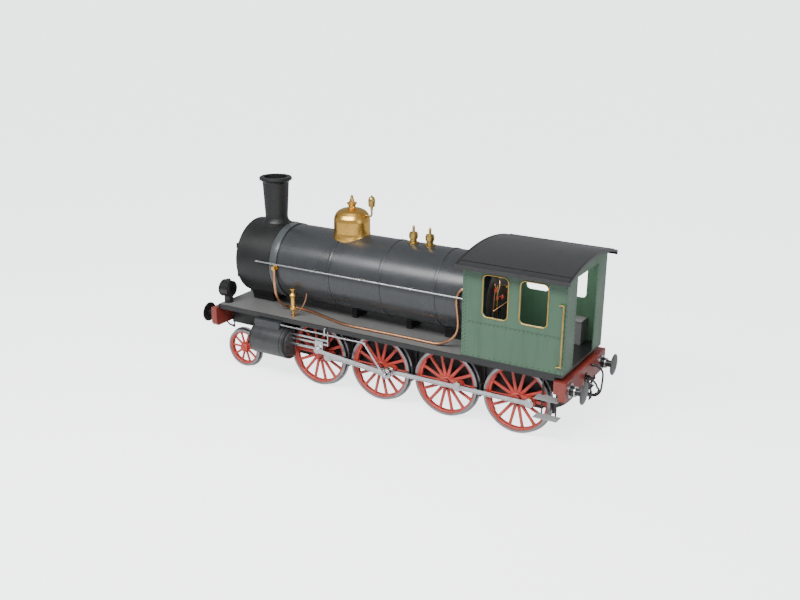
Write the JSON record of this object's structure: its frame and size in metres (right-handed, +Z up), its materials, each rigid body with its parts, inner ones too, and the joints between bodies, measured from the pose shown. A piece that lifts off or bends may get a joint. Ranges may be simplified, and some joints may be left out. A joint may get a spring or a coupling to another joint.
{
  "type": "steam locomotive",
  "caption": "Steam locomotive with a leading axle, four coupled axles, brass dome and open-backed cab, with turning wheels, coupled rods and a hinged smokebox door.",
  "frame": {"origin": "centre line, midway between the buffer faces, at the lowest point of the wheel flanges", "axes": "+X forward to the smokebox, +Y to the left, +Z up"},
  "size_m": [9.32, 2.674, 4.4549],
  "materials": {
    "black_paint": "satin black paint",
    "boiler_grey": "satin dark grey paint",
    "deck_grey": "matte mid grey paint",
    "roof_grey": "satin dark grey paint",
    "cab_green": "matte grey green paint",
    "wheel_red": "satin red paint",
    "beam_red": "satin brown red paint",
    "bright_steel": "machined and oiled",
    "tyre_steel": "rolled steel",
    "brass": "polished",
    "copper": "drawn copper pipe, dull polish",
    "hose_rubber": "ribbed black rubber"
  },
  "bodies": {
    "locomotive": {"main_frame": "black_paint", "front_buffer_beam": "beam_red", "rear_buffer_beam": "beam_red", "buffers": "black_paint", "screw_couplings": "black_paint", "running_board": "deck_grey", "deck_side_plates": "black_paint", "smokebox": "black_paint", "smokebox_saddle": "black_paint", "chimney": "black_paint", "boiler_barrel": "boiler_grey", "firebox_casing": "black_paint", "backhead_fittings": "brass", "dome": "brass", "whistle": "brass", "safety_valves": "brass", "boiler_handrails": "bright_steel", "boiler_side_fittings": "brass", "copper_pipes": "copper", "cylinders": "boiler_grey", "slide_bars": "bright_steel", "valve_rods": "bright_steel", "cab_floor": "black_paint", "cab_front": "cab_green", "cab_side_left": "cab_green", "cab_side_right": "cab_green", "cab_rear": "cab_green", "cab_roof": "roof_grey", "cab_window_frames": "brass", "cab_handrails": "brass", "cab_steps": "deck_grey", "cab_seats": "deck_grey", "headlamps": "black_paint", "brake_gear": "black_paint", "hose_fittings": "black_paint", "rear_hose_left": "hose_rubber", "rear_hose_right": "hose_rubber", "front_hose_left": "hose_rubber", "front_hose_right": "hose_rubber"},
    "smokebox_door": {"smokebox_door": "black_paint"},
    "firehole_door": {"firehole_door": "black_paint"},
    "driving_axle_1": {"driving_wheelset_1": "wheel_red", "driving_tyres_1": "tyre_steel"},
    "driving_axle_2": {"driving_wheelset_2": "wheel_red", "driving_tyres_2": "tyre_steel"},
    "driving_axle_3": {"driving_wheelset_3": "wheel_red", "driving_tyres_3": "tyre_steel"},
    "driving_axle_4": {"driving_wheelset_4": "wheel_red", "driving_tyres_4": "tyre_steel"},
    "pony_truck": {"pony_truck": "black_paint"},
    "leading_axle": {"leading_wheelset": "wheel_red", "leading_tyres": "tyre_steel"},
    "coupling_rod_left": {"coupling_rod_left": "bright_steel"},
    "coupling_rod_right": {"coupling_rod_right": "bright_steel"},
    "main_rod_left": {"main_rod_left": "bright_steel"},
    "main_rod_right": {"main_rod_right": "bright_steel"},
    "valve_link_left": {"valve_link_left": "bright_steel"},
    "valve_link_right": {"valve_link_right": "bright_steel"},
    "crosshead_left": {"crosshead_left": "bright_steel"},
    "crosshead_right": {"crosshead_right": "bright_steel"}
  },
  "joints": [
    {"name": "driving_axle_1_spin", "type": "hinge", "parent": "locomotive", "child": "driving_axle_1", "pos_m": [1.58, 0, 0.758], "axis": [0, 1, 0], "continuous": true},
    {"name": "driving_axle_2_spin", "type": "hinge", "parent": "locomotive", "child": "driving_axle_2", "pos_m": [-0.02, 0, 0.758], "axis": [0, 1, 0], "continuous": true},
    {"name": "driving_axle_3_spin", "type": "hinge", "parent": "locomotive", "child": "driving_axle_3", "pos_m": [-1.62, 0, 0.758], "axis": [0, 1, 0], "continuous": true},
    {"name": "driving_axle_4_spin", "type": "hinge", "parent": "locomotive", "child": "driving_axle_4", "pos_m": [-3.22, 0, 0.758], "axis": [0, 1, 0], "continuous": true},
    {"name": "pony_truck_swivel", "type": "hinge", "parent": "locomotive", "child": "pony_truck", "pos_m": [2.6, 0, 0.476], "axis": [0, 0, 1], "range_deg": [-3.5, 3.5]},
    {"name": "leading_axle_spin", "type": "hinge", "parent": "pony_truck", "child": "leading_axle", "pos_m": [3.703, 0, 0.476], "axis": [0, 1, 0], "continuous": true},
    {"name": "smokebox_door_hinge", "type": "hinge", "parent": "locomotive", "child": "smokebox_door", "pos_m": [3.86, 0.7, 2.57], "axis": [0, 0, 1], "range_deg": [0, 110]},
    {"name": "firehole_door_hinge", "type": "hinge", "parent": "locomotive", "child": "firehole_door", "pos_m": [-2.511, 0.222, 2.19], "axis": [0, 0, -1], "range_deg": [0, 95]},
    {"name": "coupling_rod_left_pin", "type": "hinge", "parent": "driving_axle_2", "child": "coupling_rod_left", "pos_m": [-0.32, 0.87, 0.758], "axis": [0, 1, 0], "continuous": true},
    {"name": "main_rod_left_pin", "type": "hinge", "parent": "driving_axle_2", "child": "main_rod_left", "pos_m": [-0.32, 1.035, 0.758], "axis": [0, 1, 0], "continuous": true},
    {"name": "valve_link_left_pin", "type": "hinge", "parent": "driving_axle_2", "child": "valve_link_left", "pos_m": [-0.32, 1.1275, 0.758], "axis": [0, 1, 0], "continuous": true},
    {"name": "coupling_rod_right_pin", "type": "hinge", "parent": "driving_axle_2", "child": "coupling_rod_right", "pos_m": [-0.02, -0.87, 1.058], "axis": [0, 1, 0], "continuous": true},
    {"name": "main_rod_right_pin", "type": "hinge", "parent": "driving_axle_2", "child": "main_rod_right", "pos_m": [-0.02, -1.035, 1.058], "axis": [0, 1, 0], "continuous": true},
    {"name": "valve_link_right_pin", "type": "hinge", "parent": "driving_axle_2", "child": "valve_link_right", "pos_m": [-0.02, -1.1275, 1.058], "axis": [0, 1, 0], "continuous": true},
    {"name": "crosshead_left_slide", "type": "slide", "parent": "locomotive", "child": "crosshead_left", "axis": [1, 0, 0], "range_m": [0, 0.6]},
    {"name": "crosshead_right_slide", "type": "slide", "parent": "locomotive", "child": "crosshead_right", "axis": [1, 0, 0], "range_m": [-0.305, 0.295]}
  ],
  "couplings": [
    {"joint": "driving_axle_1_spin", "follows": "driving_axle_2_spin", "ratio": 1},
    {"joint": "driving_axle_3_spin", "follows": "driving_axle_2_spin", "ratio": 1},
    {"joint": "driving_axle_4_spin", "follows": "driving_axle_2_spin", "ratio": 1},
    {"joint": "coupling_rod_left_pin", "follows": "driving_axle_2_spin", "ratio": -1},
    {"joint": "main_rod_left_pin", "follows": "driving_axle_2_spin", "ratio": -1},
    {"joint": "valve_link_left_pin", "follows": "driving_axle_2_spin", "ratio": -1},
    {"joint": "coupling_rod_right_pin", "follows": "driving_axle_2_spin", "ratio": -1},
    {"joint": "main_rod_right_pin", "follows": "driving_axle_2_spin", "ratio": -1},
    {"joint": "valve_link_right_pin", "follows": "driving_axle_2_spin", "ratio": -1}
  ]
}
